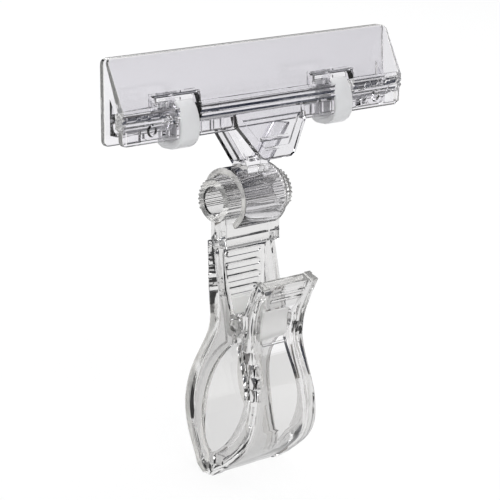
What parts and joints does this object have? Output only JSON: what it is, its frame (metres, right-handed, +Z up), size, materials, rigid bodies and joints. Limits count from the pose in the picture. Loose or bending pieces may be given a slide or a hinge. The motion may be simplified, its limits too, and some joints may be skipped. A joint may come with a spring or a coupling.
{
  "type": "price tag holder",
  "caption": "Clear plastic price tag holder: a wide spring clip for a card tilts on a ribbed barrel above a spring clip that grips a shelf edge or basket rim.",
  "frame": {"origin": "middle of the lower clip's mouth, at the tip of its closed lips", "axes": "+Z up through the clip to the sign, +X along the sign, -Y towards the reader of the card"},
  "size_m": [0.08, 0.0248, 0.0944],
  "materials": {
    "clear_plastic": "polished clear",
    "white_nylon": "milky satin"
  },
  "bodies": {
    "base": {"base_jaw": "clear_plastic", "base_spring": "white_nylon"},
    "lever": {"lever_jaw": "clear_plastic"},
    "sign_rear": {"sign_rear_jaw": "clear_plastic", "sign_spring_left": "white_nylon", "sign_spring_right": "white_nylon"},
    "sign_front": {"sign_front_jaw": "clear_plastic"}
  },
  "joints": [
    {"name": "lever_jaw_open", "type": "hinge", "parent": "base", "child": "lever", "pos_m": [0, -0.0056, 0.0342], "axis": [-1, 0, 0], "range_deg": [0, 25], "stiffness_Nm_per_rad": 0.12, "springref_deg": -28.65, "deforming": ["base_spring"]},
    {"name": "sign_tilt", "type": "hinge", "parent": "base", "child": "sign_rear", "pos_m": [0, -0.001, 0.0608], "axis": [-1, 0, 0], "range_deg": [0, 70]},
    {"name": "sign_jaw_open", "type": "hinge", "parent": "sign_rear", "child": "sign_front", "pos_m": [0, -0.0055, 0.0808], "axis": [1, 0, 0], "range_deg": [0, 20], "stiffness_Nm_per_rad": 0.04, "springref_deg": -28.65, "deforming": ["sign_spring_left", "sign_spring_right"]}
  ]
}
